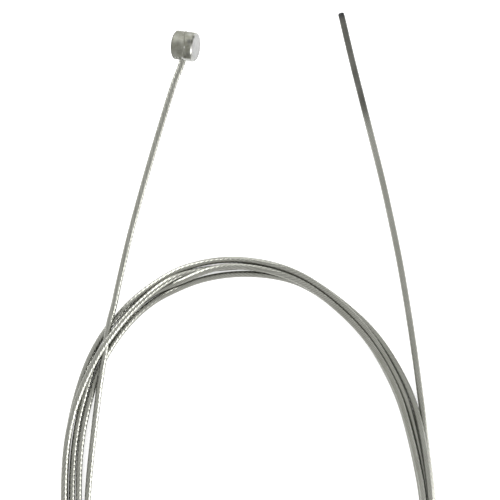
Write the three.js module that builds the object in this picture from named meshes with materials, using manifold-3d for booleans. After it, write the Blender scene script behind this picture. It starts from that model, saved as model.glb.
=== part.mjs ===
// Inner wire of a bicycle brake: a stranded steel cable with a cast barrel at one end
// and a bare, fused end at the other, lying in a flat oval coil of four and a half turns.
// Millimetres, +Z up. The coil lies on the plane Z = 0 and both ends point along +Y.

import * as THREE from "three";
import * as BufferGeometryUtils from "three/addons/utils/BufferGeometryUtils.js";
import Module from "manifold-3d";

// Driving dimensions
const wireDiameter = 1.6;
const barrelDiameter = 7.0;
const barrelLength = 5.5;
const barrelChamfer = 0.4;
const partingRidgeHeight = 0.1;
const partingRidgeWidth = 0.5;
const barrelTurnDegrees = 10;
const barrelTiltDegrees = 14;
const coilWidth = 93.7;
const coilTopReach = 67.6;
const coilBottomReach = 63.5;
const coilLayers = 3;

// Fits
const fitGap = 0.3;
const coilSlack = 0.1;
const coilClearance = 0.15;

// Fineness of the faceted solids
const wireSides = 8;
const socketSides = 16;
const barrelSegments = 48;
const stepsPerSpan = 4;
const tubeStep = 2.6 * wireDiameter;

// Outer edge of the coil, from its right side over the top to its left side, from the
// centre of the oval: shares of half the coil's width and of its reach above the centre
const upperEdge = [
  [1.0, -0.044], [0.98, 0.17], [0.933, 0.355], [0.851, 0.533], [0.704, 0.704], [0.507, 0.839], [0.267, 0.949],
  [0.011, 1.0], [-0.24, 0.995], [-0.48, 0.93], [-0.691, 0.812], [-0.848, 0.663], [-0.945, 0.477], [-0.993, 0.281],
];

// Width of the bundle of turns at each of these points and then at the same places of the
// lower half, in diameters of the wire
const bundleWidth = [
  2.75, 2.8, 3.0, 3.0, 2.7, 2.15, 2.2, 3.2, 3.6, 3.3, 3.1, 3.25, 4.65, 4.9,
  4.3, 4.2, 4.15, 4.1, 4.1, 4.1, 4.1, 4.1, 4.1, 4.0, 3.9, 3.7, 3.45, 3.05,
];

// Middle line of the wire between the barrel and the coil, from the centre of the oval.
// Its first two points come from the barrel, and its heights fall evenly to the coil.
const barrelCentre = [-15.83, 119.7];
const headRoute = [
  [-18.45, 111.3], [-21.55, 101.5], [-24.5, 91.7], [-27.3, 81.9], [-29.95, 72.0], [-32.3, 62.0], [-33.4, 57.1],
];
// It enters the coil on top of one other turn, and inside the coil it runs to this edge point.
const headCoilHeight = 1.5 * wireDiameter;
const headJoin = 11;

// Middle line of the wire between the coil and the free end, all of it on the ground.
// Inside the coil it runs back to this edge point.
const tailJoin = 1;
const tailRoute = [
  [41.95, 37.0], [40.55, 47.0], [38.98, 57.0], [37.23, 67.0], [35.18, 77.0],
  [32.95, 87.0], [30.45, 97.0], [27.9, 107.0], [25.38, 117.0], [22.65, 128.6],
];

const wasm = await Module();
wasm.setup();

const strandSteel = new THREE.MeshStandardMaterial({ color: 0x8b8c82, roughness: 0.38, metalness: 0.9 });
const castZinc = new THREE.MeshStandardMaterial({ color: 0x7f7f74, roughness: 0.55, metalness: 0.8 });

// A closed geometry as a solid that can be joined and cut
function toSolid(geometry) {
  const bare = geometry.clone();
  bare.deleteAttribute("normal");
  bare.deleteAttribute("uv");
  const merged = BufferGeometryUtils.mergeVertices(bare, 1e-4);
  return new wasm.Manifold(new wasm.Mesh({
    numProp: 3,
    vertProperties: new Float32Array(merged.attributes.position.array),
    triVerts: new Uint32Array(merged.index.array),
  }));
}

function toGeometry(solid) {
  const mesh = solid.getMesh();
  const geometry = new THREE.BufferGeometry();
  geometry.setAttribute("position", new THREE.BufferAttribute(mesh.vertProperties, 3));
  geometry.setIndex(new THREE.BufferAttribute(mesh.triVerts, 1));
  return geometry;
}

// A round bar of the given radius along a curve, with flat ends
function roundBar(curve, radius, sides, steps) {
  const section = new THREE.Shape();
  for (let side = 0; side < sides; side += 1) {
    const angle = (2 * Math.PI * side) / sides;
    const x = radius * Math.cos(angle);
    const y = radius * Math.sin(angle);
    if (side === 0) section.moveTo(x, y);
    else section.lineTo(x, y);
  }
  section.closePath();
  return new THREE.ExtrudeGeometry(section, { steps, extrudePath: curve, bevelEnabled: false });
}

function wireBar(points) {
  const curve = new THREE.CatmullRomCurve3(points);
  const steps = Math.max(1, Math.ceil(curve.getLength() / tubeStep));
  return roundBar(curve, wireDiameter / 2, wireSides, steps);
}

function inPlan([x, y], height) {
  return new THREE.Vector3(x, y, height);
}

// Barrel: its frame has the axis along the local Y of the lathe
const turn = THREE.MathUtils.degToRad(barrelTurnDegrees);
const tilt = THREE.MathUtils.degToRad(barrelTiltDegrees);
const barrelRadius = barrelDiameter / 2;
const barrelHalf = barrelLength / 2;
// The lowest point is where the chamfer of the lower end meets the round side.
const barrelHeight = barrelRadius * Math.cos(tilt) + (barrelHalf - barrelChamfer) * Math.sin(tilt);
const barrelPlace = inPlan(barrelCentre, barrelHeight);
const barrelAxis = new THREE.Vector3(
  Math.cos(turn) * Math.cos(tilt),
  -Math.sin(turn) * Math.cos(tilt),
  Math.sin(tilt),
);
// The wire leaves square to the axis, level with the ground.
const wireExit = new THREE.Vector3(-Math.sin(turn), -Math.cos(turn), 0);

function barrelGeometry() {
  const ridgeHalf = partingRidgeWidth / 2;
  const ridgeRadius = barrelRadius + partingRidgeHeight;
  const profile = [
    [0, -barrelHalf],
    [barrelRadius - barrelChamfer, -barrelHalf],
    [barrelRadius, -barrelHalf + barrelChamfer],
    [barrelRadius, -ridgeHalf],
    [ridgeRadius, -ridgeHalf + partingRidgeHeight],
    [ridgeRadius, ridgeHalf - partingRidgeHeight],
    [barrelRadius, ridgeHalf],
    [barrelRadius, barrelHalf - barrelChamfer],
    [barrelRadius - barrelChamfer, barrelHalf],
    [0, barrelHalf],
  ].map(([radius, along]) => new THREE.Vector2(radius, along));
  const lathe = new THREE.LatheGeometry(profile, barrelSegments);
  const toAxis = new THREE.Quaternion().setFromUnitVectors(new THREE.Vector3(0, 1, 0), barrelAxis);
  lathe.applyQuaternion(toAxis);
  // Blind socket for the wire, from its bottom just past the axis out through the side
  const socketLine = new THREE.LineCurve3(
    wireExit.clone().multiplyScalar(-fitGap),
    wireExit.clone().multiplyScalar(barrelDiameter),
  );
  const socket = roundBar(socketLine, wireDiameter / 2 + fitGap, socketSides, 1);
  return toGeometry(toSolid(lathe).subtract(toSolid(socket)));
}

// Head wire: from the bottom of the socket to the coil
function headPoints() {
  const start = barrelPlace.clone();
  const leaving = start.clone().addScaledVector(wireExit, barrelRadius + partingRidgeHeight);
  const total = headRoute.length;
  const rest = headRoute.map((place, index) => {
    const share = (index + 1) / total;
    return inPlan(place, THREE.MathUtils.lerp(barrelHeight, headCoilHeight, share));
  });
  return [start, leaving, ...rest];
}

function tailPoints() {
  return tailRoute.map((place) => inPlan(place, wireDiameter / 2));
}

// The coil: one solid of its outer shape, with a short length of wire where each end leaves it
const upper = upperEdge.map(([x, y]) => [x * coilWidth / 2, y * coilTopReach]);
// The lower half repeats the upper half turned half way round.
const lower = upperEdge.map(([x, y]) => [-x * coilWidth / 2, -y * coilBottomReach]);
const edge = [...upper, ...lower];
const edgeCurve = new THREE.CatmullRomCurve3(edge.map((place) => inPlan(place, 0)), true, "catmullrom", 0.5);

const coilHeight = coilLayers * wireDiameter;

// The outer and inner side of the bundle at a point of the edge; parts of a step are allowed
function bundleSides(station) {
  const low = Math.floor(station);
  const high = (low + 1) % edge.length;
  const width = THREE.MathUtils.lerp(bundleWidth[low], bundleWidth[high], station - low) * wireDiameter;
  const point = edgeCurve.getPoint(station / edge.length);
  const along = edgeCurve.getTangent(station / edge.length);
  const inward = new THREE.Vector2(-along.y, along.x);
  const outer = new THREE.Vector2(point.x, point.y).addScaledVector(inward, -coilSlack);
  return { outer, inner: outer.clone().addScaledVector(inward, coilSlack + width) };
}

// A straight length of wire from the middle of the bundle to the face where a free wire starts
function wireInCoil(station, face) {
  const { outer, inner } = bundleSides(station);
  const middle = outer.clone().lerp(inner, 0.5);
  const run = new THREE.LineCurve3(inPlan([middle.x, middle.y], face.z), face);
  return toSolid(roundBar(run, wireDiameter / 2, wireSides, 1));
}

function coilSides() {
  const stations = Array.from({ length: edge.length * stepsPerSpan }, (_, sample) => sample / stepsPerSpan);
  return stations.map(bundleSides);
}

function coilGeometry() {
  const sides = coilSides();
  const outline = new THREE.Shape(sides.map(({ outer }) => outer));
  outline.holes.push(new THREE.Path(sides.map(({ inner }) => inner)));
  const ring = new THREE.ExtrudeGeometry(outline, { depth: coilHeight, bevelEnabled: false });
  const headEnd = wireInCoil(headJoin, headPoints().pop());
  const tailEnd = wireInCoil(tailJoin, tailPoints()[0]);
  return toGeometry(toSolid(ring).add(headEnd).add(tailEnd));
}

// The room inside the coil's outer side, with some clearance around it
function coilRoom() {
  const outline = new THREE.Shape(coilSides().map(({ outer, inner }) => {
    const outward = outer.clone().sub(inner).normalize();
    return outer.clone().addScaledVector(outward, coilClearance);
  }));
  const room = new THREE.ExtrudeGeometry(outline, { depth: coilHeight + 2 * coilClearance, bevelEnabled: false });
  room.translate(0, 0, -coilClearance);
  return toSolid(room);
}

// A free wire starts one gap away from the coil's own length of wire. Where the coil is made
// larger and reaches over that place, the wire starts at the coil's outer side instead.
function freeWire(points) {
  const [first, second] = points;
  const step = second.clone().sub(first).normalize();
  const bar = wireBar([first.clone().addScaledVector(step, fitGap), ...points.slice(1)]);
  return toGeometry(toSolid(bar).subtract(coilRoom()));
}

const cable = new THREE.Group();

const barrel = new THREE.Mesh(barrelGeometry(), castZinc);
barrel.name = "barrel_end";
barrel.position.copy(barrelPlace);
cable.add(barrel);

const headWire = new THREE.Mesh(freeWire(headPoints().reverse()), strandSteel);
headWire.name = "head_wire";
cable.add(headWire);

const coil = new THREE.Mesh(coilGeometry(), strandSteel);
coil.name = "wire_coil";
cable.add(coil);

const tailWire = new THREE.Mesh(freeWire(tailPoints()), strandSteel);
tailWire.name = "tail_wire";
cable.add(tailWire);

// The origin lies on the ground under the middle of the whole cable.
const box = new THREE.Box3().setFromObject(cable);
const middle = box.getCenter(new THREE.Vector3());
cable.position.set(-middle.x, -middle.y, -box.min.z);

export default cable;
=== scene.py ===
import math

import bpy
import numpy as np
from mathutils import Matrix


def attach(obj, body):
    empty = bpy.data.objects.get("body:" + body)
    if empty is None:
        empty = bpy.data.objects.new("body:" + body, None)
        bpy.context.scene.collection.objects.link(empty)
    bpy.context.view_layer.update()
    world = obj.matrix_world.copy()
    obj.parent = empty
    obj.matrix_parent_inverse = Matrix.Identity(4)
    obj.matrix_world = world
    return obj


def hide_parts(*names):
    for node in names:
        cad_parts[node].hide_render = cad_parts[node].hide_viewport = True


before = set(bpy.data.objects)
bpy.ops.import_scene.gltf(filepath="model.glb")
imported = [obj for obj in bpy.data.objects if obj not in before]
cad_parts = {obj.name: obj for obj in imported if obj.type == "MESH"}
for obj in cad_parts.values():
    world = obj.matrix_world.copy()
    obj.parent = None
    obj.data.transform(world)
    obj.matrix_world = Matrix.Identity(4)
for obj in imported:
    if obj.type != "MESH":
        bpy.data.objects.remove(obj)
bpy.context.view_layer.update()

# Inner wire of a bicycle brake: a twisted strand with a cast barrel on one end, lying in a
# flat oval coil. Metres, +Z up, the coil on the ground, both ends towards +Y.

mm = 0.001
up = np.array([0.0, 0.0, 1.0])


# One printed line for each stage
def report(stage):
    print("[cable]", stage)


# the scene around the cable
setting = {
    "cameraHeight": 0.250,
    "viewWidth": 0.125,        # what the picture shows of the ground, side to side
    "viewMiddle": (0.0, 0.03706),
    "sensorWidth": 36.0,
    "nearestSeen": 0.01,
    "floorSize": 3.0,
    "floorTone": 0.80,
    "floorGlow": 0.65,
    "skyDim": 0.45,            # strength of the sky at the lower left and at the upper right
    "skyBright": 0.55,
    "skyWay": (0.7, 0.7, 0.1),
    "skyRange": (-0.7, 0.8),   # between these places along that way it goes from dim to bright
    "lampDistance": 0.6,
}
# soft boxes: which way each lies, its width and length in metres, and its brightness
softBoxes = {
    "rightBox": ((0.84, -0.38, 0.22), (0.25, 0.28), 7.5),
    "lowerRightBox": ((0.62, -0.60, 0.38), (0.24, 0.34), 8.5),
    "topBox": ((0.05, 0.93, 0.26), (0.24, 0.26), 3.0),
    "upperLeftBox": ((-0.50, 0.70, 0.46), (0.36, 0.29), 10.5),
}


# The lens that shows the view's width on the ground: sensor width times height over view width
def addCamera():
    camera = bpy.data.cameras.new("camera")
    camera.sensor_width = setting["sensorWidth"]
    camera.lens = camera.sensor_width * setting["cameraHeight"] / setting["viewWidth"]
    camera.clip_start = setting["nearestSeen"]
    holder = bpy.data.objects.new("camera", camera)
    holder.location = (*setting["viewMiddle"], setting["cameraHeight"])
    bpy.context.collection.objects.link(holder)
    bpy.context.scene.camera = holder


addCamera()
report("camera above the coil, looking straight down")


# the route of the wire, in millimetres from the middle of the oval
route = {
    "ovalCentre": (0.0, -32.441),
    "coilWidth": 93.7,
    "coilTopReach": 67.6,
    "coilBottomReach": 63.5,
    "barrelCentre": (-15.83, 119.7),
    "barrelTurn": 10.0,
    "barrelTilt": 14.0,
    "coilHeight": 2.4,         # middle of the wire where it comes in over the first turn
    "spanSteps": 12,           # steps between two chosen points
}
wire = {
    "diameter": 1.6,
    "outerWires": 12,
    "outerWireDiameter": 0.32,
    "lay": 14.9,               # one full twist of the outer wires
    "relief": 0.26,            # how much of the depth between two outer wires is left
    "ringStep": 0.885,
    "stiffRings": 2.0,         # rings over which a bend is evened out
    "pointsPerWire": 4,
    "length": 1.80,            # metres
    "fusedLength": 27.0,
    "fusedFade": 9.0,
    "fusedSunk": 0.03,         # how far the fused wires have run together
    "fusedSmooth": 0.9,        # how smooth they are, from 0 to 1
    "capLength": 1.3,          # the burnt tip
    "capFaded": 1.5,           # its dark tone is gone at so many of its lengths from the end
    "tipRound": 0.45,
    "tipRings": [0.45, 0.28, 0.14, 0.05, 0.0],
}
barrel = {
    "diameter": 7.0,
    "length": 5.5,
    "chamfer": 0.4,
    "ridge": 0.1,
    "ridgeWidth": 0.5,
    "ridgeSoftness": 0.6,      # share of half its width over which it falls off
    "ridgeStart": -0.3,        # the parting ridge isn't quite in the middle and wanders
    "ridgeWander": 1.1,
    "wanderAt": -78.0,         # degrees from the wire where it wanders most
    "wanderWidth": 45.0,
    # a band of painted shade round the left rim, and how far it fades
    "darkRim": 0.45,
    "darkRimFade": 0.15,
    # the right rim: its fade, and how much paler it is painted, a painted highlight for its glint
    "rimFade": 0.1,
    "rimPale": 0.4,
    "faceFade": 0.1,
    "faceRings": 10,
    "chamferRings": 9,
    "sideRings": 96,
    "around": 128,
    "poleRadius": 0.1,         # of the smallest ring on each end face
    "slack": 0.01,             # closer than this counts as on the same surface
}

# outer edge of the coil, right to left over the top, as shares of the sizes above
upperEdge = np.array([
    [1.0, -0.044], [0.98, 0.17], [0.933, 0.355], [0.851, 0.533], [0.704, 0.704],
    [0.507, 0.839], [0.267, 0.949], [0.011, 1.0], [-0.24, 0.995], [-0.48, 0.93],
    [-0.691, 0.812], [-0.848, 0.663], [-0.945, 0.477], [-0.993, 0.281],
])
# middle line from the barrel to the coil, and from the coil to the free end
headRoute = [
    [-18.45, 111.3], [-21.55, 101.5], [-24.5, 91.7], [-27.3, 81.9],
    [-29.95, 72.0], [-32.3, 62.0], [-33.4, 57.1],
]
tailRoute = [
    [41.95, 37.0], [40.55, 47.0], [38.98, 57.0], [37.23, 67.0], [35.18, 77.0],
    [32.95, 87.0], [30.45, 97.0], [27.9, 107.0], [25.38, 117.0], [22.65, 128.6],
]

# The coil is wound once round the 28 points of its edge per turn, so a place in it is a
# count of points from the right side. Each pair is that place and how far inside the edge
# the middle of the wire lies. A turn starts at the left side, at place 14.
lapPlaces = 28
comingIn = [
    (10.08, -1.0), (10.27, 0.25), (10.39, 1.06), (10.52, 1.79), (10.65, 2.5), (10.77, 3.07),
    (10.94, 3.79), (11.1, 4.42), (11.37, 5.18), (11.75, 6.09), (12.07, 6.63), (12.5, 7.06),
    (12.94, 7.13), (13.2, 6.99), (13.71, 6.43), (14, 6.15),
]
turns = [
    [
        (16, 5.7), (18.5, 5.6), (21, 5.6), (24, 5.3), (26.5, 4.5), (27.7, 3.6), (28.7, 3.05),
        (29.5, 3.9), (30.7, 3.95), (31.3, 3.8), (31.9, 3.45), (32.6, 2.75), (33.3, 2.35),
        (33.9, 2.5), (34.6, 3.6), (35.2, 4.35), (35.7, 4.75), (36.4, 4.85), (36.8, 4.7),
        (37.4, 4.15), (38, 4.0), (39, 4.05), (39.8, 4.25), (40.3, 4.2), (42, 4.2),
    ],
    [
        (16, 4.5), (18.5, 4.9), (21, 4.9), (24, 4.9), (26.5, 4.3), (27.7, 3.5), (28.7, 3.0),
        (29.5, 3.85), (30.3, 4.0), (30.8, 3.9), (31.2, 3.65), (31.7, 3.6), (32.1, 3.2), (33, 2.5),
        (34, 2.0), (34.7, 2.4), (35.6, 2.4), (36.3, 3.1), (36.8, 3.4), (37.4, 2.4), (39.4, 2.45),
        (39.8, 2.7), (40.7, 2.6), (42, 2.45),
    ],
    [
        (17, 3.0), (21, 4.0), (24, 3.6), (26.5, 2.7), (28.7, 2.0), (29.5, 2.4), (30.8, 2.5),
        (31.6, 2.4), (32, 1.95), (32.6, 1.55), (33.1, 1.15), (34, 0.85), (34.7, 0.82), (42, 0.82),
    ],
    [
        (17, 1.4), (21, 2.4), (24, 2.3), (26.5, 2.0), (28.7, 1.65), (29.5, 1.55), (30.25, 0.82),
        (34, 0.82), (34.35, 1.15), (34.7, 1.7), (35.2, 2.5), (35.6, 2.9), (36, 2.7), (36.3, 2.4),
        (36.8, 1.9), (37.3, 2.3), (38, 2.6), (38.6, 2.8), (38.95, 2.9), (39.4, 2.2), (39.8, 1.6),
        (40.3, 1.05), (40.7, 0.9), (42, 0.82),
    ],
    [
        (27, 0.82), (28, 1.05), (28.7, 1.15), (29.2, 0.98), (29.6, 0.78), (30.1, 0.17),
        (30.6, -1.01),
    ],
]
# Which turn lies on which, from the ground up, between two places; -1 is the wire coming in.
piling = [
    (14, 21, [3, 2, 0, 1, 4]),
    (21, 30.67, [4, 0, 2, 1, 3]),
    (30.67, 35.9, [3, 0, 2, 1]),
    (35.9, 36.8, [2, 0, 3, 1]),
    (36.8, 42, [2, 0, 1, -1, 3]),
]
settling = {
    "samplesPerPlace": 12,
    "tangentStep": 0.01,       # steps of the edge to each side, to find its direction
    "bellReach": 3,            # a bell of weights reaches so many of its widths
    "laneSmoothing": 3.0,      # samples
    "heightSmoothing": 5.0,
    "bendSmoothing": 2.0,
    "lastSmoothing": 1.5,
    "comingDown": 1.2,         # steps of the edge over which the wire comes down into the coil
    "rounds": 160,
    "stiffness": 0.35,
    "pull": 0.1,               # share of the way back to its own lane, each round
    "drop": 0.004,             # millimetres that a turn sinks, each round
    "leastApart": 1e-6,        # keeps two middles in one place from dividing by nothing
}

ovalCentre = np.array(route["ovalCentre"])
edge = np.vstack([
    upperEdge * [route["coilWidth"] / 2, route["coilTopReach"]],
    upperEdge * [-route["coilWidth"] / 2, -route["coilBottomReach"]],
])
wireRadius = wire["diameter"] / 2


# A point of the closed edge: the cubic curve through its points that runs at each of them the
# way from the one before to the one after, half as far
def edgePoint(place):
    low = np.floor(place).astype(int)
    t = (place - low)[:, None]
    before, start, end, after = (edge[(low + k) % lapPlaces] for k in (-1, 0, 1, 2))
    return 0.5 * (2 * start + (end - before) * t
                  + (2 * before - 5 * start + 4 * end - after) * t ** 2
                  + (3 * start - before - 3 * end + after) * t ** 3)


# The way towards the middle of the oval: the edge's direction, turned a quarter to the left
def edgeInward(place):
    step = settling["tangentStep"]
    along = edgePoint(place + step) - edgePoint(place - step)
    along /= np.linalg.norm(along, axis=1)[:, None]
    return np.stack([-along[:, 1], along[:, 0]], axis=1)


# From 0 to 1 with a soft start and end: three times the square less twice the cube
def eased(share):
    return share * share * (3 - 2 * share)


# A running average with a bell of weights; past its ends the line goes on as it came
def smoothed(values, width):
    reach = int(settling["bellReach"] * width) + 1
    weights = np.exp(-0.5 * (np.arange(-reach, reach + 1) / width) ** 2)
    padded = np.pad(values, reach, mode="reflect", reflect_type="odd")
    return np.convolve(padded, weights / weights.sum(), mode="valid")


# Heights of the turns: each is let down in the order of the piling until it touches the
# ground or one below it, where two round wires touch at one diameter between middles.
def letDown(places, lanes):
    diameter = wire["diameter"]
    heights = np.full(len(places), wireRadius)
    samples = settling["samplesPerPlace"]
    lapSamples = lapPlaces * samples
    first = int(round(places[0] * samples))
    for start, end, order in piling:
        local = np.arange(int(start * samples), int(end * samples))
        below = []
        for turn in order:
            index = local + turn * lapSamples - first
            there = (index >= 0) & (index < len(places))
            index = np.clip(index, 0, len(places) - 1)
            height = np.full(len(local), wireRadius)
            for otherIndex, otherThere in below:
                apart = lanes[index] - lanes[otherIndex]
                lift = np.sqrt(np.maximum(diameter ** 2 - apart ** 2, 0))
                rests = otherThere & (np.abs(apart) < diameter)
                height = np.where(rests, np.maximum(height, heights[otherIndex] + lift), height)
            heights[index[there]] = height[there]
            below.append((index, there))
    return heights


# Settling: each round smooths the wire a little, as its stiffness does, then pushes two
# turns that lie in each other apart by half of what they share, and keeps all off the ground.
def settle(places, lanes, heights):
    diameter = wire["diameter"]
    lapSamples = lapPlaces * settling["samplesPerPlace"]
    wanted = lanes.copy()
    for _ in range(settling["rounds"]):
        lanes = lanes + settling["pull"] * (wanted - lanes)
        evened = smoothed(heights, settling["bendSmoothing"])
        heights = heights + settling["stiffness"] * (evened - heights)
        heights = heights - settling["drop"]
        for turn in range(1, len(turns)):
            shift = turn * lapSamples
            if shift >= len(lanes):
                break
            aside = lanes[shift:] - lanes[:-shift]
            above = heights[shift:] - heights[:-shift]
            apart = np.maximum(np.hypot(aside, above), settling["leastApart"])
            push = np.maximum(diameter - apart, 0) / 2
            lanes[shift:] += push * aside / apart
            lanes[:-shift] -= push * aside / apart
            heights[shift:] += push * above / apart
            heights[:-shift] -= push * above / apart
        heights = np.maximum(heights, wireRadius)
    lanes = smoothed(lanes, settling["lastSmoothing"])
    heights = smoothed(heights, settling["lastSmoothing"])
    return lanes, np.maximum(heights, wireRadius)


# The route in the coil: each point of the edge, moved inwards by what the turn keeps from it
# there, at the height to which it settles
def coilRoute():
    pairs = list(comingIn)
    for turn, lane in enumerate(turns):
        pairs += [(place + turn * lapPlaces, inside) for place, inside in lane]
    pairs = np.array(pairs)
    step = 1 / settling["samplesPerPlace"]
    places = np.arange(math.ceil(pairs[0, 0] / step), pairs[-1, 0] / step) * step
    lanes = smoothed(np.interp(places, pairs[:, 0], pairs[:, 1]), settling["laneSmoothing"])
    heights = smoothed(letDown(places, lanes), settling["heightSmoothing"])
    lanes, heights = settle(places, lanes, heights)
    # the wire comes in at its own height and comes down over one step of the edge
    held = eased(np.clip(1 - (places - places[0]) / settling["comingDown"], 0, 1))
    heights = heights + (np.maximum(heights, route["coilHeight"]) - heights) * held
    plan = edgePoint(places) + edgeInward(places) * lanes[:, None]
    return np.column_stack([plan, heights])


turnAngle = math.radians(route["barrelTurn"])
tiltAngle = math.radians(route["barrelTilt"])
barrelHeight = (barrel["diameter"] / 2 * math.cos(tiltAngle)
                + (barrel["length"] / 2 - barrel["chamfer"]) * math.sin(tiltAngle))
barrelMiddle = np.array([*route["barrelCentre"], barrelHeight])
barrelAxis = np.array([
    math.cos(turnAngle) * math.cos(tiltAngle),
    -math.sin(turnAngle) * math.cos(tiltAngle),
    math.sin(tiltAngle),
])
wireExit = np.array([-math.sin(turnAngle), -math.cos(turnAngle), 0.0])


# The whole route: a cubic curve through all the chosen points, each span mixed from the
# straight lines between the four points round it, where the parameter grows by the root of
# their distance; then points evenly spaced along it, and smoothed
def wholeRoute():
    leaving = barrelMiddle + wireExit * (barrel["diameter"] / 2 + barrel["ridge"])
    share = np.arange(1, len(headRoute) + 1) / len(headRoute)
    headHeights = barrelHeight + (route["coilHeight"] - barrelHeight) * share
    head = np.vstack([barrelMiddle, leaving, np.column_stack([headRoute, headHeights])])
    tail = np.column_stack([tailRoute, np.full(len(tailRoute), wireRadius)])
    knots = np.vstack([head, coilRoute(), tail])
    ends = np.vstack([2 * knots[0] - knots[1], knots, 2 * knots[-1] - knots[-2]])
    gaps = np.sqrt(np.linalg.norm(np.diff(ends, axis=0), axis=1))
    when = np.concatenate([[0], np.cumsum(gaps)])
    spans = zip(when[1:-2], when[2:-1])
    fine = np.concatenate([np.linspace(a, b, route["spanSteps"], endpoint=False) for a, b in spans])
    fine = np.append(fine, when[-2])
    i = np.clip(np.searchsorted(when, fine, side="right") - 1, 1, len(knots) - 1)
    t = fine[:, None]
    t0, t1, t2, t3 = (when[i + k][:, None] for k in (-1, 0, 1, 2))
    p0, p1, p2, p3 = (ends[i + k] for k in (-1, 0, 1, 2))
    a1 = (t1 - t) / (t1 - t0) * p0 + (t - t0) / (t1 - t0) * p1
    a2 = (t2 - t) / (t2 - t1) * p1 + (t - t1) / (t2 - t1) * p2
    a3 = (t3 - t) / (t3 - t2) * p2 + (t - t2) / (t3 - t2) * p3
    b1 = (t2 - t) / (t2 - t0) * a1 + (t - t0) / (t2 - t0) * a2
    b2 = (t3 - t) / (t3 - t1) * a2 + (t - t1) / (t3 - t1) * a3
    dense = (t2 - t) / (t2 - t1) * b1 + (t - t1) / (t2 - t1) * b2
    run = np.concatenate([[0], np.cumsum(np.linalg.norm(np.diff(dense, axis=0), axis=1))])
    count = int(round(run[-1] / wire["ringStep"])) + 1
    even = np.linspace(0, run[-1], count)
    axes = [np.interp(even, run, dense[:, k]) for k in range(3)]
    line = np.column_stack([smoothed(values, wire["stiffRings"]) for values in axes])
    line[:, 2] = np.maximum(line[:, 2], wireRadius)
    line[:, :2] += ovalCentre
    close = even[-1] - np.array(wire["tipRings"])
    last = np.column_stack([np.interp(close, even, line[:, k]) for k in range(3)])
    return np.vstack([line[:-1], last]), np.append(even[:-1], close)


centreLine, alongWire = wholeRoute()
report(f"route of {alongWire[-1] / 1000:.4f} m with {len(centreLine)} rings")


# A mesh with smooth shading at the origin, from points in millimetres
def meshPiece(name, points, faces, material):
    mesh = bpy.data.meshes.new(name)
    mesh.from_pydata((points * mm).tolist(), [], faces)
    mesh.materials.append(material)
    mesh.polygons.foreach_set("use_smooth", np.ones(len(mesh.polygons), dtype=bool))
    mesh.update()
    piece = bpy.data.objects.new(name, mesh)
    bpy.context.collection.objects.link(piece)
    return piece


# Faces of a grid that is closed round its second side, with a fan over each end
def gridFaces(rings, around):
    i = np.arange(rings - 1)[:, None] * around
    j = np.arange(around)[None, :]
    nextJ = (j + 1) % around
    quads = np.stack([i + j, i + nextJ, i + around + nextJ, i + around + j], axis=-1).reshape(-1, 4)
    first, last = rings * around, rings * around + 1
    j = np.arange(around)
    nextJ = (j + 1) % around
    base = (rings - 1) * around
    startFan = np.stack([np.full(around, first), nextJ, j], axis=-1)
    endFan = np.stack([np.full(around, last), base + j, base + nextJ], axis=-1)
    return quads.tolist() + startFan.tolist() + endFan.tolist()


# One value for each point, which a material reads by its name
def addAttribute(piece, name, values):
    layer = piece.data.attributes.new(name, "FLOAT", "POINT")
    layer.data.foreach_set("value", np.asarray(values, dtype=np.float32))


mottlingLook = {
    "broadDetail": 4.0,
    "fineDetail": 3.0,
}


# Mottling: broad noise times what the fine share leaves, plus fine noise times that share.
# It is a value between the two tones of a metal.
def mottlingGroup():
    group = bpy.data.node_groups.new("mottling", "ShaderNodeTree")
    sockets = group.interface
    sockets.new_socket(name="Vector", in_out="INPUT", socket_type="NodeSocketVector")
    for name in ("Broad Scale", "Fine Scale", "Fine Share"):
        sockets.new_socket(name=name, in_out="INPUT", socket_type="NodeSocketFloat")
    sockets.new_socket(name="Value", in_out="OUTPUT", socket_type="NodeSocketFloat")
    nodes, links = group.nodes, group.links
    start = nodes.new("NodeGroupInput")
    end = nodes.new("NodeGroupOutput")
    broad = nodes.new("ShaderNodeTexNoise")
    broad.inputs["Detail"].default_value = mottlingLook["broadDetail"]
    fine = nodes.new("ShaderNodeTexNoise")
    fine.inputs["Detail"].default_value = mottlingLook["fineDetail"]
    mix = nodes.new("ShaderNodeMix")
    links.new(start.outputs["Vector"], broad.inputs["Vector"])
    links.new(start.outputs["Vector"], fine.inputs["Vector"])
    links.new(start.outputs["Broad Scale"], broad.inputs["Scale"])
    links.new(start.outputs["Fine Scale"], fine.inputs["Scale"])
    links.new(start.outputs["Fine Share"], mix.inputs["Factor"])
    links.new(broad.outputs["Fac"], mix.inputs["A"])
    links.new(fine.outputs["Fac"], mix.inputs["B"])
    links.new(mix.outputs["Result"], end.inputs["Value"])
    return group


mottling = mottlingGroup()


# A material with the usual shader, and what is needed to wire it
def newMaterial(name):
    material = bpy.data.materials.new(name)
    material.use_nodes = True
    nodes = material.node_tree.nodes
    return material, nodes, material.node_tree.links, nodes["Principled BSDF"]


# The mottling of one metal, laid out in the piece's own space
def patchesOf(nodes, links, look):
    place = nodes.new("ShaderNodeTexCoord")
    patches = nodes.new("ShaderNodeGroup")
    patches.node_tree = mottling
    patches.inputs["Broad Scale"].default_value = look["broadScale"]
    patches.inputs["Fine Scale"].default_value = look["fineScale"]
    patches.inputs["Fine Share"].default_value = look["fineShare"]
    links.new(place.outputs["Object"], patches.inputs["Vector"])
    return patches.outputs["Value"]


# What addAttribute put on the mesh under this name
def attributeOf(nodes, name):
    node = nodes.new("ShaderNodeAttribute")
    node.attribute_name = name
    return node.outputs["Fac"]


# A colour that goes straight from the first to the second, between two places of the value
def toned(nodes, links, value, places, colours):
    node = nodes.new("ShaderNodeValToRGB")
    for element, place, colour in zip(node.color_ramp.elements, places, colours):
        element.position = place
        element.color = colour
    links.new(value, node.inputs["Fac"])
    return node.outputs["Color"]


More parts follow.
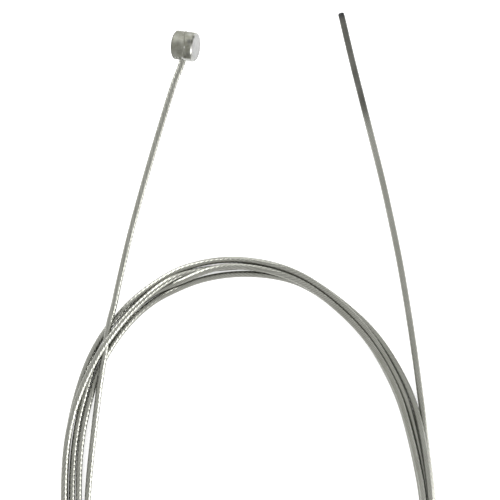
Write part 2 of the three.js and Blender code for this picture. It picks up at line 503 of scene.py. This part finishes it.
# A value stretched from one range to another, held at its ends
def stretched(nodes, links, value, source, target):
    node = nodes.new("ShaderNodeMapRange")
    node.inputs["From Min"].default_value, node.inputs["From Max"].default_value = source
    node.inputs["To Min"].default_value, node.inputs["To Max"].default_value = target
    links.new(value, node.inputs["Value"])
    return node


# The first times what the factor leaves, plus the second times the factor, for colours (RGBA)
# or values (FLOAT)
def mixed(nodes, links, kind, factor, first, second):
    mix = nodes.new("ShaderNodeMix")
    mix.data_type = kind
    links.new(factor, mix.inputs["Factor"])
    for value, socket in ((first, mix.inputs["A"]), (second, mix.inputs["B"])):
        if isinstance(value, (tuple, float)):
            socket.default_value = value
        else:
            links.new(value, socket)
    return mix.outputs["Result"]


strandLook = {
    "crest": (0.36, 0.362, 0.328, 1),
    "crestDull": (0.305, 0.307, 0.272, 1),
    # painted shade for the creases between the outer wires
    "valleyPaintedShade": (0.055, 0.055, 0.045, 1),
    "fused": (0.07, 0.07, 0.06, 1),
    "fusedPale": (0.15, 0.15, 0.135, 1),
    "cap": (0.035, 0.035, 0.037, 1),
    "metallic": 0.85,
    "roughness": (0.17, 0.25),
    "fusedRoughness": 0.34,
    "broadScale": 120.0,
    "fineScale": 900.0,
    "fineShare": 0.2,
    # between which values of the mottling, or of the height on a wire, each tone changes
    "crestRange": (0.35, 0.62),
    "heightRange": (0.1, 0.75),
    "fusedRange": (0.35, 0.65),
    "glossRange": (0.3, 0.7),
}


# Steel: painted shade, dark in the creases between the outer wires, and mottled on their crests, by
# the height there;
# over that the fused end, and over that its burnt tip
def strandMaterial():
    material, nodes, links, shader = newMaterial("strandSteel")
    look = strandLook
    patches = patchesOf(nodes, links, look)
    black, white = (0, 0, 0, 1), (1, 1, 1, 1)
    crest = toned(nodes, links, patches, look["crestRange"], (look["crestDull"], look["crest"]))
    height = toned(nodes, links, attributeOf(nodes, "crest"), look["heightRange"], (black, white))
    # painted shade: darker down in the creases, by the height on the outer wires
    colour = mixed(nodes, links, "RGBA", height, look["valleyPaintedShade"], crest)
    burnt = toned(nodes, links, patches, look["fusedRange"], (look["fused"], look["fusedPale"]))
    fused = attributeOf(nodes, "fused")
    colour = mixed(nodes, links, "RGBA", fused, colour, burnt)
    colour = mixed(nodes, links, "RGBA", attributeOf(nodes, "cap"), colour, look["cap"])
    links.new(colour, shader.inputs["Base Color"])
    gloss = stretched(nodes, links, patches, look["glossRange"], look["roughness"])
    duller = mixed(nodes, links, "FLOAT", fused, gloss.outputs["Result"], look["fusedRoughness"])
    links.new(duller, shader.inputs["Roughness"])
    shader.inputs["Metallic"].default_value = look["metallic"]
    return material


# The strand: round the middle line, the outline of twelve round wires that lie on a circle,
# turned evenly along the wire. Within half a wire's share of the circle, the distance from
# the middle is c cos(a) + sqrt(r^2 - (c sin(a))^2), down to the crease where two wires touch.
def strandPiece(material):
    perTurn = wire["outerWires"] * wire["pointsPerWire"]
    thinRadius = wire["outerWireDiameter"] / 2
    circle = wireRadius - thinRadius
    corner = np.arange(perTurn) * 2 * math.pi / perTurn
    pitch = 2 * math.pi / wire["outerWires"]
    within = np.abs((corner + pitch / 2) % pitch - pitch / 2)
    bulge = np.sqrt(np.maximum(thinRadius ** 2 - (circle * np.sin(within)) ** 2, 0))
    lobed = wireRadius + wire["relief"] * (circle * np.cos(within) + bulge - wireRadius)
    along = np.gradient(centreLine, axis=0)
    along /= np.linalg.norm(along, axis=1)[:, None]
    side = np.cross(up, along)
    side /= np.linalg.norm(side, axis=1)[:, None]
    top = np.cross(along, side)
    rest = alongWire[-1] - alongWire
    fused = (wire["fusedLength"] + wire["fusedFade"] / 2 - rest) / wire["fusedFade"]
    fused = eased(np.clip(fused, 0, 1))
    smoothRadius = wireRadius - wire["fusedSunk"]
    melted = wire["fusedSmooth"]
    radius = lobed[None, :] * (1 - melted * fused[:, None]) + smoothRadius * melted * fused[:, None]
    tip = np.clip(rest / wire["tipRound"], 0, 1)
    drawnIn = wire["tipRound"] * (1 - np.sqrt(1 - (1 - tip) ** 2))
    radius = radius - drawnIn[:, None]
    angle = corner[None, :] - (2 * math.pi * alongWire / wire["lay"])[:, None]
    points = (centreLine[:, None, :] + side[:, None, :] * (radius * np.cos(angle))[:, :, None]
              + top[:, None, :] * (radius * np.sin(angle))[:, :, None]).reshape(-1, 3)
    points = np.vstack([points, centreLine[0], centreLine[-1]])
    piece = meshPiece("cable_strand", points, gridFaces(len(centreLine), perTurn), material)
    # the height on the outer wires, by which the steel paints shade into the creases
    crest = (lobed - lobed.min()) / (lobed.max() - lobed.min())
    crest = np.broadcast_to(crest, (len(centreLine), perTurn)).reshape(-1)
    addAttribute(piece, "crest", np.append(crest, [0, 0]))
    addAttribute(piece, "fused", np.append(np.repeat(fused, perTurn), [0, 1]))
    cap = np.clip(wire["capFaded"] - rest / wire["capLength"], 0, 1)
    addAttribute(piece, "cap", np.append(np.repeat(cap, perTurn), [0, 1]))
    return piece


strand = strandPiece(strandMaterial())
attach(strand, "root")
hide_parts("head_wire", "wire_coil", "tail_wire")
report("strand of twelve outer wires")


# The larger of two values
def larger(nodes, links, first, second):
    node = nodes.new("ShaderNodeMath")
    node.operation = "MAXIMUM"
    links.new(first, node.inputs[0])
    links.new(second, node.inputs[1])
    return node.outputs["Value"]


# One for a ray that shows the background: from the camera, off metal or through glass
def whiteRays(nodes, links):
    path = nodes.new("ShaderNodeLightPath")
    kinds = ("Is Camera Ray", "Is Glossy Ray", "Is Transmission Ray")
    seen, glossy, through = (path.outputs[kind] for kind in kinds)
    return larger(nodes, links, seen, larger(nodes, links, glossy, through))


# A flat square of four corners. It is plain and pale, and it glows as well for the rays that
# show the background, so that it looks white and keeps the shadow.
def addFloor():
    material, nodes, links, shader = newMaterial("paleFloor")
    nodes.remove(shader)
    output = nodes["Material Output"]
    diffuse = nodes.new("ShaderNodeBsdfDiffuse")
    tone = setting["floorTone"]
    diffuse.inputs["Color"].default_value = (tone, tone, tone, 1)
    glow = nodes.new("ShaderNodeEmission")
    glow.inputs["Strength"].default_value = setting["floorGlow"]
    added = nodes.new("ShaderNodeAddShader")
    links.new(diffuse.outputs["BSDF"], added.inputs[0])
    links.new(glow.outputs["Emission"], added.inputs[1])
    mix = nodes.new("ShaderNodeMixShader")
    links.new(whiteRays(nodes, links), mix.inputs["Fac"])
    links.new(diffuse.outputs["BSDF"], mix.inputs[1])
    links.new(added.outputs["Shader"], mix.inputs[2])
    links.new(mix.outputs["Shader"], output.inputs["Surface"])
    half = setting["floorSize"] / 2
    corners = [(-half, -half, 0), (half, -half, 0), (half, half, 0), (-half, half, 0)]
    mesh = bpy.data.meshes.new("floor")
    mesh.from_pydata(corners, [], [(0, 1, 2, 3)])
    mesh.materials.append(material)
    floor = bpy.data.objects.new("floor", mesh)
    bpy.context.collection.objects.link(floor)


# A lamp of area A and brightness L gives off pi L A watts. It faces the middle of the view.
def addSoftBox(name, way, size, brightness):
    lamp = bpy.data.lights.new(name, "AREA")
    lamp.shape = "RECTANGLE"
    lamp.size, lamp.size_y = size
    lamp.energy = math.pi * brightness * size[0] * size[1]
    holder = bpy.data.objects.new(name, lamp)
    away = np.array(way) / np.linalg.norm(way) * setting["lampDistance"]
    holder.location = away + [*setting["viewMiddle"], 0.0]
    flat = math.hypot(away[0], away[1])
    holder.rotation_euler = (math.atan2(flat, away[2]), 0, math.atan2(away[0], -away[1]))
    holder.visible_camera = False
    bpy.context.collection.objects.link(holder)


# White, with the strength of the sky by how far a direction goes the sky's bright way (their
# dot product), and at least one for the rays that show the background
def addWorld():
    world = bpy.data.worlds.new("studio")
    bpy.context.scene.world = world
    world.use_nodes = True
    nodes, links = world.node_tree.nodes, world.node_tree.links
    background = nodes["Background"]
    background.inputs["Color"].default_value = (1, 1, 1, 1)
    sky = nodes.new("ShaderNodeTexCoord")
    brightWay = nodes.new("ShaderNodeVectorMath")
    brightWay.operation = "DOT_PRODUCT"
    brightWay.inputs[1].default_value = setting["skyWay"]
    links.new(sky.outputs["Generated"], brightWay.inputs[0])
    level = stretched(nodes, links, brightWay.outputs["Value"], setting["skyRange"],
                      (setting["skyDim"], setting["skyBright"]))
    level.interpolation_type = "SMOOTHSTEP"
    strength = larger(nodes, links, level.outputs["Result"], whiteRays(nodes, links))
    links.new(strength, background.inputs["Strength"])


addFloor()
addWorld()
for boxName, (way, size, brightness) in softBoxes.items():
    addSoftBox(boxName, way, size, brightness)
bpy.context.scene.view_settings.view_transform = "Standard"
report("floor, world and lamps")


zincLook = {
    "dark": (0.125, 0.125, 0.093, 1),
    "light": (0.20, 0.202, 0.176, 1),
    # the tone of the dark marks, and of painted shade
    "darkMarkAndPaintedShade": (0.045, 0.045, 0.038, 1),
    # the tone of the pale marks, and of painted light
    "bare": (0.62, 0.625, 0.61, 1),
    "face": (0.375, 0.375, 0.37, 1),
    "faceDull": (0.28, 0.28, 0.275, 1),
    "metallic": 0.5,
    "roughness": (0.42, 0.62),
    "rimRoughness": 0.22,
    "bumpStrength": 0.5,
    "bumpDistance": 0.00008,   # metres
    "broadScale": 700.0,
    "fineScale": 2400.0,
    "fineShare": 0.35,
    # between which values of the mottling each tone changes
    "skinRange": (0.36, 0.64),
    "faceRange": (0.36, 0.56),
    "glossRange": (0.0, 1.0),
}
# Marks on the barrel: place along it in millimetres and round it in degrees from the wire,
# minus being the upper side; the half sizes; how pale or, below 0, how dark; how far it
# stands out. The first two are painted shade and painted light.
barrelMarks = [
    # painted shade on the side away from the wire, where the upper left lamp falls brightest
    (-0.4, -114, 2.2, 24, -0.28, 0),
    # painted light on the side towards the wire, which the lamps leave darker
    (-0.6, -52, 2.4, 24, 0.13, 0),
    (1.9, -99, 0.75, 12, -1.1, 0),
    (1.3, -131, 1.2, 13, 0.25, 0),
    (2.55, -124, 0.30, 8, -0.6, 0),
    (-0.8, -87, 0.6, 9, -0.4, 0),
    (-0.3, -55, 0.8, 12, -0.35, 0),
    (1.9, -42, 0.8, 12, -0.55, 0),
    (0.95, -30, 0.30, 5, -0.9, 0),
    (0.91, -73, 0.15, 4, 0.6, 0.03),
    (-2.3, -18, 0.20, 5, -0.9, 0),
    (-1.75, -17, 0.16, 4, 0.9, 0.08),
    (-1.38, -18, 0.12, 4, -0.9, 0),
    (-1.0, -19, 0.16, 4, 0.9, 0.08),
    (-0.5, -20, 0.16, 4, -0.8, 0),
    (0.15, -21, 0.22, 4, 1.3, 0.15),
    (0.45, -15, 0.26, 4, 1.3, 0.25),
    (1.0, -9, 0.45, 9, 1.0, 0.05),
    (1.9, -9, 0.65, 10, 0.9, 0),
]


# Cast zinc: a mottled skin, over it the dark marks and the painted shade of the left rim, then the
# pale marks and the painted highlight of the right rim, and over those the end faces.
# The rims are smoother, and the mottling stands up a little.
def zincMaterial():
    material, nodes, links, shader = newMaterial("castZinc")
    look = zincLook
    patches = patchesOf(nodes, links, look)
    skin = toned(nodes, links, patches, look["skinRange"], (look["dark"], look["light"]))
    # the dark tone where the marks are dark, and as painted shade round the left rim
    colour = mixed(nodes, links, "RGBA", attributeOf(nodes, "dark"), skin, look["darkMarkAndPaintedShade"])
    # the pale tone where the marks are pale, and as a painted highlight on the right rim
    colour = mixed(nodes, links, "RGBA", attributeOf(nodes, "pale"), colour, look["bare"])
    face = toned(nodes, links, patches, look["faceRange"], (look["faceDull"], look["face"]))
    colour = mixed(nodes, links, "RGBA", attributeOf(nodes, "endFace"), colour, face)
    links.new(colour, shader.inputs["Base Color"])
    shader.inputs["Metallic"].default_value = look["metallic"]
    gloss = stretched(nodes, links, patches, look["glossRange"], look["roughness"])
    rim = attributeOf(nodes, "rim")
    sleeker = mixed(nodes, links, "FLOAT", rim, gloss.outputs["Result"], look["rimRoughness"])
    links.new(sleeker, shader.inputs["Roughness"])
    bump = nodes.new("ShaderNodeBump")
    bump.inputs["Strength"].default_value = look["bumpStrength"]
    bump.inputs["Distance"].default_value = look["bumpDistance"]
    links.new(patches, bump.inputs["Height"])
    links.new(bump.outputs["Normal"], shader.inputs["Normal"])
    return material


# The barrel: a profile of radius over length, turned round the axis. The rims are quarter
# circles, and the ridge and the marks are bells that are added to the radius of the side.
def barrelPiece(material):
    half = barrel["length"] / 2
    radius = barrel["diameter"] / 2
    chamfer = barrel["chamfer"]
    faceRadius = radius - chamfer
    pole = barrel["poleRadius"]
    faceRings = barrel["faceRings"]
    chamferRings = barrel["chamferRings"]
    sideRings = barrel["sideRings"]
    along = np.concatenate([
        np.full(faceRings, -half),
        np.linspace(-half, -half + chamfer, chamferRings)[1:],
        np.linspace(-half + chamfer, half - chamfer, sideRings)[1:],
        np.linspace(half - chamfer, half, chamferRings)[1:],
        np.full(faceRings, half)[1:],
    ])
    bend = np.linspace(0, math.pi / 2, chamferRings)[1:]
    across = np.concatenate([
        np.linspace(pole, faceRadius, faceRings),
        faceRadius + chamfer * np.sin(bend),
        np.full(sideRings - 1, radius),
        faceRadius + chamfer * np.cos(bend),
        np.linspace(faceRadius, pole, faceRings)[1:],
    ])
    around = barrel["around"]
    angle = np.arange(around) * 2 * math.pi / around
    degrees = (np.degrees(angle) + 180) % 360 - 180
    turned = (degrees - barrel["wanderAt"]) / barrel["wanderWidth"]
    wander = barrel["ridgeStart"] + barrel["ridgeWander"] * np.exp(-turned ** 2)
    ridgeBell = barrel["ridgeWidth"] / 2 * barrel["ridgeSoftness"]
    ridge = barrel["ridge"] * np.exp(-((along[:, None] - wander) / ridgeBell) ** 2)
    tone = np.zeros((len(along), around))
    standing = np.zeros((len(along), around))
    for place, markAngle, length, width, amount, height in barrelMarks:
        away = ((along[:, None] - place) / length) ** 2 + ((degrees - markAngle) / width) ** 2
        spot = np.exp(-away)
        tone += amount * spot
        standing += height * spot
    onSide = across > radius - barrel["slack"]
    onFace = np.abs(along) > half - barrel["slack"]
    across = across[:, None] + (ridge + standing) * onSide[:, None]
    second = np.cross(barrelAxis, wireExit)
    points = (along[:, None, None] * barrelAxis + (across * np.cos(angle))[:, :, None] * wireExit
              + (across * np.sin(angle))[:, :, None] * second).reshape(-1, 3)
    ends = np.array([barrelAxis * -half, barrelAxis * half])
    points = np.vstack([points, ends]) + barrelMiddle + [*ovalCentre, 0]
    piece = meshPiece("barrel", points, gridFaces(len(along), around), material)
    faceFade = barrel["faceFade"]
    flat = np.clip((faceRadius + faceFade / 2 - across[:, 0]) / faceFade, 0, 1) * onFace
    # painted shade: a dark band round the left rim
    leftRim = np.clip((barrel["darkRim"] - half - along) / barrel["darkRimFade"], 0, 1) * (1 - flat)
    # the right rim, smoother and, by rimPale, paler: a painted highlight for its glint
    rim = np.clip((along - half + chamfer) / barrel["rimFade"], 0, 1) * (1 - flat)
    # dark: the dark marks and the painted shade of the left rim; pale: the pale marks and the
    # painted highlight of the right rim
    dark = np.clip(leftRim[:, None] - tone, 0, 1)
    pale = np.clip(tone + barrel["rimPale"] * rim[:, None], 0, 1)
    addAttribute(piece, "endFace", np.append(np.repeat(flat, around), [1, 1]))
    addAttribute(piece, "rim", np.append(np.repeat(rim, around), [0, 0]))
    addAttribute(piece, "dark", np.append(dark, [0, 0]))
    addAttribute(piece, "pale", np.append(pale, [0, 0]))
    return piece


barrelEnd = barrelPiece(zincMaterial())
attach(barrelEnd, "root")
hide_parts("barrel_end")
report("barrel")
